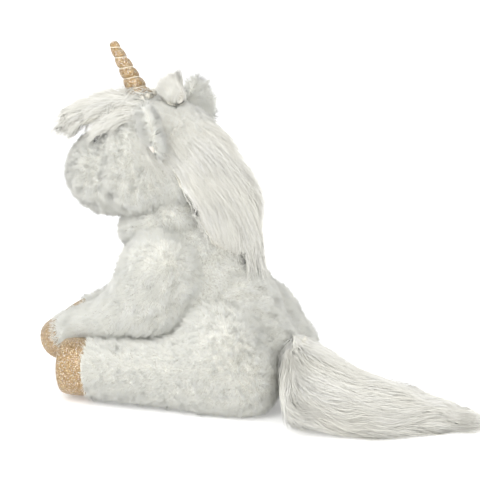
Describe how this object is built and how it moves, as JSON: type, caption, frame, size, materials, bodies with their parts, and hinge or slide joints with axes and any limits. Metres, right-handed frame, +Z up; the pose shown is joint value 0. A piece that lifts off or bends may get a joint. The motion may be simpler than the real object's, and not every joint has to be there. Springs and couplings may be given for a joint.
{
  "type": "plush unicorn",
  "caption": "Seated stuffed plush unicorn with long fur mane and tail, spiral glitter horn, glitter hooves, floppy legs and a turning head.",
  "frame": {"origin": "on the flat seat face that rests on the floor, on the toy's middle plane, below the chest's back", "axes": "the unicorn faces -Y, its left side is +X, +Z is up"},
  "size_m": [0.1669, 0.3796, 0.2835],
  "materials": {
    "plush": "white crinkled short-pile plush",
    "long_fur": "ivory long-pile faux fur",
    "ear_lining": "short velour",
    "gold_glitter": "champagne-gold glitter fabric",
    "stuffing": "polyester fibre fill",
    "pouch_cloth": "plain woven cloth",
    "eye_gloss": "polished black",
    "washer_plastic": "natural"
  },
  "bodies": {
    "torso": {"body_skin": "plush", "body_stuffing": "stuffing", "pellet_pouch": "pouch_cloth"},
    "head": {"head_skin": "plush", "head_stuffing": "stuffing", "horn_cover": "gold_glitter", "horn_stuffing": "stuffing", "forelock": "long_fur", "crown_tuft": "long_fur", "mane": "long_fur", "eye_left": "eye_gloss", "eye_right": "eye_gloss", "eye_washer_left": "washer_plastic", "eye_washer_right": "washer_plastic"},
    "left_ear": {"ear_left": "plush", "ear_lining_left": "ear_lining"},
    "right_ear": {"ear_right": "plush", "ear_lining_right": "ear_lining"},
    "tail_hair": {"tail": "long_fur"},
    "left_foreleg": {"foreleg_left_skin": "plush", "foreleg_left_stuffing": "stuffing", "fore_hoof_left": "gold_glitter", "fore_sole_left": "gold_glitter"},
    "left_hind_leg": {"hind_leg_left_skin": "plush", "hind_leg_left_stuffing": "stuffing", "hind_hoof_left": "gold_glitter", "hind_sole_left": "gold_glitter"},
    "right_foreleg": {"foreleg_right_skin": "plush", "foreleg_right_stuffing": "stuffing", "fore_hoof_right": "gold_glitter", "fore_sole_right": "gold_glitter"},
    "right_hind_leg": {"hind_leg_right_skin": "plush", "hind_leg_right_stuffing": "stuffing", "hind_hoof_right": "gold_glitter", "hind_sole_right": "gold_glitter"}
  },
  "joints": [
    {"name": "head_turn", "type": "hinge", "parent": "torso", "child": "head", "pos_m": [0, -0.018, 0.15], "axis": [0, 0, 1], "range_deg": [-20, 20]},
    {"name": "left_foreleg_lift", "type": "hinge", "parent": "torso", "child": "left_foreleg", "pos_m": [0.0461, -0.014, 0.112], "axis": [-1, 0, 0], "range_deg": [0, 40]},
    {"name": "left_hind_leg_splay", "type": "hinge", "parent": "torso", "child": "left_hind_leg", "pos_m": [0.044, 0.034, 0.042], "axis": [0, 0, 1], "range_deg": [0, 20]},
    {"name": "right_foreleg_lift", "type": "hinge", "parent": "torso", "child": "right_foreleg", "pos_m": [-0.0461, -0.014, 0.112], "axis": [-1, 0, 0], "range_deg": [0, 40]},
    {"name": "right_hind_leg_splay", "type": "hinge", "parent": "torso", "child": "right_hind_leg", "pos_m": [-0.044, 0.034, 0.042], "axis": [0, 0, -1], "range_deg": [0, 20]},
    {"name": "left_ear_flop", "type": "hinge", "parent": "head", "child": "left_ear", "pos_m": [0.0495, -0.02, 0.209], "axis": [0.8192, 0.5736, 0], "range_deg": [-10, 30]},
    {"name": "right_ear_flop", "type": "hinge", "parent": "head", "child": "right_ear", "pos_m": [-0.0495, -0.02, 0.209], "axis": [0.8192, -0.5736, 0], "range_deg": [-10, 30]},
    {"name": "tail_swing", "type": "hinge", "parent": "torso", "child": "tail_hair", "pos_m": [0, 0.09, 0.05], "axis": [0, 0, 1], "range_deg": [-15, 15]}
  ]
}
